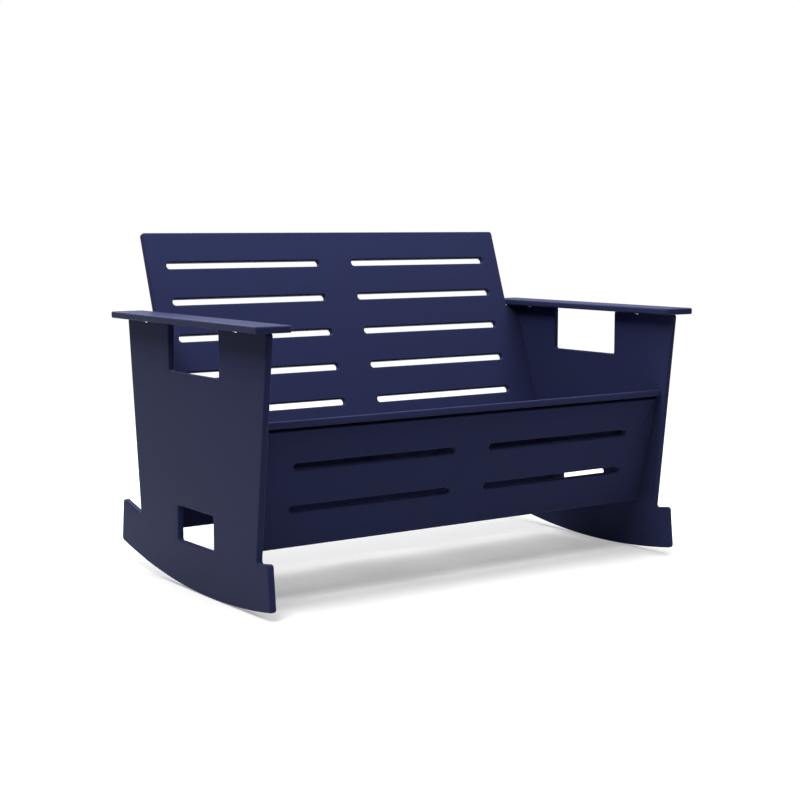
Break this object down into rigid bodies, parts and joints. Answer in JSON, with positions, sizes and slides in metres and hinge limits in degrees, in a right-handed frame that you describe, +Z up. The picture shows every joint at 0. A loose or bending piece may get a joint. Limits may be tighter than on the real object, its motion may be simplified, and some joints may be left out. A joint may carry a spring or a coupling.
{
  "type": "rocking bench",
  "caption": "Low two-seat outdoor rocking bench of flat slotted boards: slab side panels with curved rocker feet, flat arms, leaning back, sloping seat and raked apron.",
  "frame": {"origin": "on the floor under the middle of the bench's overall width and depth", "axes": "+X to the right as seen from the front, +Y towards the back, +Z up; the front of the bench faces -Y and the arms are level"},
  "size_m": [1.294, 0.7592, 0.8395],
  "materials": {
    "board": "satin navy polyethylene board, coloured through, with routed edges",
    "steel": "bright stainless steel"
  },
  "bodies": {
    "root": {"left_side_panel": "board", "right_side_panel": "board", "left_arm_board": "board", "right_arm_board": "board", "back_panel": "board", "seat_panel": "board", "front_apron": "board", "middle_seat_rib": "board", "front_rib_cleat": "board", "rear_rib_cleat": "board", "left_seat_cleat": "board", "right_seat_cleat": "board", "left_back_cleat": "board", "right_back_cleat": "board", "left_apron_cleat": "board", "right_apron_cleat": "board", "left_front_seat_ledger": "board", "right_front_seat_ledger": "board", "left_rear_seat_ledger": "board", "right_rear_seat_ledger": "board", "left_front_arm_plate": "steel", "left_rear_arm_plate": "steel", "right_front_arm_plate": "steel", "right_rear_arm_plate": "steel", "rib_screws": "steel", "seat_cleat_screws": "steel", "seat_screws": "steel", "back_cleat_screws": "steel", "back_screws": "steel", "apron_cleat_screws": "steel", "apron_screws": "steel", "ledger_screws": "steel", "plate_edge_screws": "steel", "arm_screws": "steel"}
  },
  "joints": []
}
